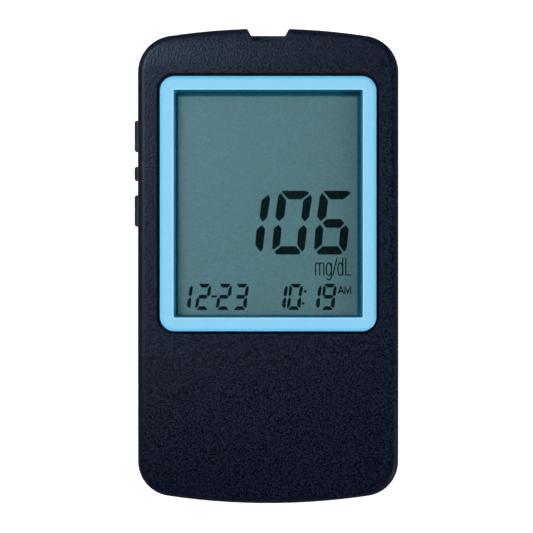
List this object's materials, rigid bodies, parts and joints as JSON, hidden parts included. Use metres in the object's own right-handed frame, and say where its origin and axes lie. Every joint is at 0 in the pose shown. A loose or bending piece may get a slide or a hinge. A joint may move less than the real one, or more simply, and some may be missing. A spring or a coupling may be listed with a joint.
{
  "type": "blood glucose meter",
  "caption": "Handheld blood glucose meter with a large framed segment display, a test strip port in the top end, side keys and a battery door in the back.",
  "frame": {"origin": "on the back face, in the middle of the case's outline seen from the front", "axes": "+Z out of the display, +Y towards the test strip port, +X across to the right seen from the front"},
  "size_m": [0.0569, 0.1021, 0.0201],
  "materials": {
    "case": "fine spark-textured dark blue-grey ABS",
    "bezel": "satin light blue ABS",
    "window": "clear acrylic",
    "foam": "black closed-cell foam",
    "polariser": "grey-green film",
    "glass": "clear display glass",
    "reflector": "silver-grey film",
    "holder": "natural white plastic",
    "zebra": "layered conductive rubber",
    "board": "green solder mask",
    "chip": "black epoxy",
    "can": "drawn steel can",
    "contact": "gold-plated spring brass",
    "socket": "black moulded socket",
    "guide": "smooth dark plastic",
    "key": "dark grey keycap plastic",
    "plunger": "light switch plunger",
    "speaker_frame": "black steel frame",
    "diaphragm": "thin film",
    "magnet": "plated magnet cup",
    "nickel": "nickel-plated spring steel",
    "screw": "zinc-plated steel",
    "cell": "plain sleeve on a steel can",
    "label": "blank silver-grey film"
  },
  "bodies": {
    "case": {"front_cover": "case", "rear_cover": "case", "strip_port_guide": "guide", "rear_label": "label", "case_screws": "screw", "display_bezel": "bezel", "display_window": "window", "display_gasket": "foam", "lcd_polariser": "polariser", "lcd_front_glass": "glass", "lcd_rear_glass": "glass", "lcd_reflector": "reflector", "lcd_holder": "holder", "upper_contact_strip": "zebra", "lower_contact_strip": "zebra", "circuit_board": "board", "microcontroller": "chip", "speech_chip": "chip", "clock_crystal": "can", "board_capacitors": "can", "strip_connector": "socket", "strip_contacts": "contact", "up_switch": "socket", "set_switch": "socket", "down_switch": "socket", "speaker_gasket": "foam", "speaker_frame": "speaker_frame", "speaker_diaphragm": "diaphragm", "speaker_magnet": "magnet", "speaker_contacts": "contact", "upper_battery": "cell", "lower_battery": "cell", "battery_bridge": "nickel", "negative_terminal": "nickel", "positive_terminal": "nickel"},
    "up_key": {"up_button": "key", "up_plunger": "plunger"},
    "set_key": {"set_button": "key", "set_plunger": "plunger"},
    "down_key": {"down_button": "key", "down_plunger": "plunger"},
    "battery_door": {"battery_cover": "case"},
    "door_latch": {"cover_latch": "case"}
  },
  "joints": [
    {"name": "up_press", "type": "slide", "parent": "case", "child": "up_key", "axis": [1, 0, 0], "range_m": [0, 0.0004], "stiffness_N_per_m": 1500},
    {"name": "set_press", "type": "slide", "parent": "case", "child": "set_key", "axis": [1, 0, 0], "range_m": [0, 0.0004], "stiffness_N_per_m": 1500},
    {"name": "down_press", "type": "slide", "parent": "case", "child": "down_key", "axis": [1, 0, 0], "range_m": [0, 0.0004], "stiffness_N_per_m": 1500},
    {"name": "battery_door_hinge", "type": "hinge", "parent": "case", "child": "battery_door", "pos_m": [0, -0.0464, 0], "axis": [-1, 0, 0], "range_deg": [0, 70], "deforming": ["cover_latch"]},
    {"name": "door_latch_slide", "type": "slide", "parent": "battery_door", "child": "door_latch", "axis": [0, -1, 0], "range_m": [0, 0.0006], "stiffness_N_per_m": 1500}
  ]
}
